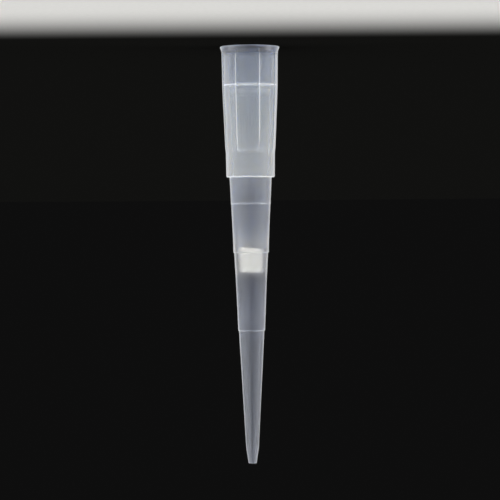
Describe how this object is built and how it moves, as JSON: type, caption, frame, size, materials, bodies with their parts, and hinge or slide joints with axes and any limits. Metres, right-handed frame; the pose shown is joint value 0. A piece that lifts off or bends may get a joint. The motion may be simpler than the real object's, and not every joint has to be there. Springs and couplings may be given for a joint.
{
  "type": "pipette tip",
  "caption": "Translucent filter pipette tip: flared mouth, ribbed hub with a square shoulder, stepped slender cone to a fine point, and a white porous plug in the bore.",
  "frame": {"origin": "centre of the mouth's rim, on the surface the tip stands on", "axes": "+Z runs along the tip's axis from the mouth up to the point; X and Y lie in the plane of the rim"},
  "size_m": [0.0072, 0.0072, 0.051],
  "materials": {
    "natural_polypropylene": "injection moulded, natural translucent, smooth satin gloss",
    "porous_polyethylene": "sintered porous, white, fully matt"
  },
  "bodies": {
    "root": {"tip_body": "natural_polypropylene", "filter_plug": "porous_polyethylene"}
  },
  "joints": []
}
